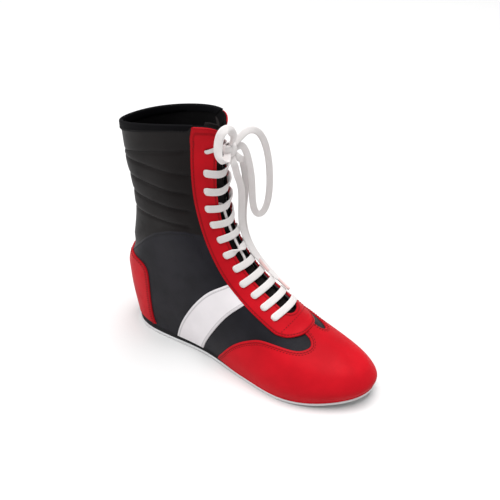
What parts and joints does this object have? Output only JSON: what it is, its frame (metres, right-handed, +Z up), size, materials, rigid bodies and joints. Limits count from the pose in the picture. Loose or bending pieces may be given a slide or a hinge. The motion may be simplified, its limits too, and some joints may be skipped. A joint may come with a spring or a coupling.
{
  "type": "boxing shoe",
  "caption": "High lace-up boxing shoe with a thin flat sole, soft tall shaft, sewn-on toe cap, lace facing, heel counter and side bands, tied with a flat lace.",
  "frame": {"origin": "on the floor under the centre of the shoe's box, loose laces left out", "axes": "+X from heel to toe, +Y to the wearer's left, which is the inner side of this right shoe, +Z up"},
  "size_m": [0.2958, 0.0998, 0.2557],
  "materials": {
    "sole_rubber": "matte, pale grey edge",
    "midsole_black": "matte",
    "insole_fabric": "matte",
    "upper_black": "satin, fine grain",
    "tongue_black": "matte",
    "red_leather": "satin, smooth",
    "white_leather": "satin",
    "binding_black": "matte",
    "lace_white": "matte, woven"
  },
  "bodies": {
    "root": {"outsole": "sole_rubber", "midsole": "midsole_black", "insole": "insole_fabric", "upper": "upper_black", "tongue": "tongue_black", "toe_cap": "red_leather", "eyestay": "red_leather", "heel_counter": "red_leather", "side_band_outer": "white_leather", "side_band_inner": "white_leather", "collar_binding": "binding_black", "lace_bars": "lace_white", "lace_knot": "lace_white", "lace_bow_loop": "lace_white", "lace_small_loop": "lace_white", "lace_end_long": "lace_white", "lace_end_short": "lace_white"}
  },
  "joints": []
}
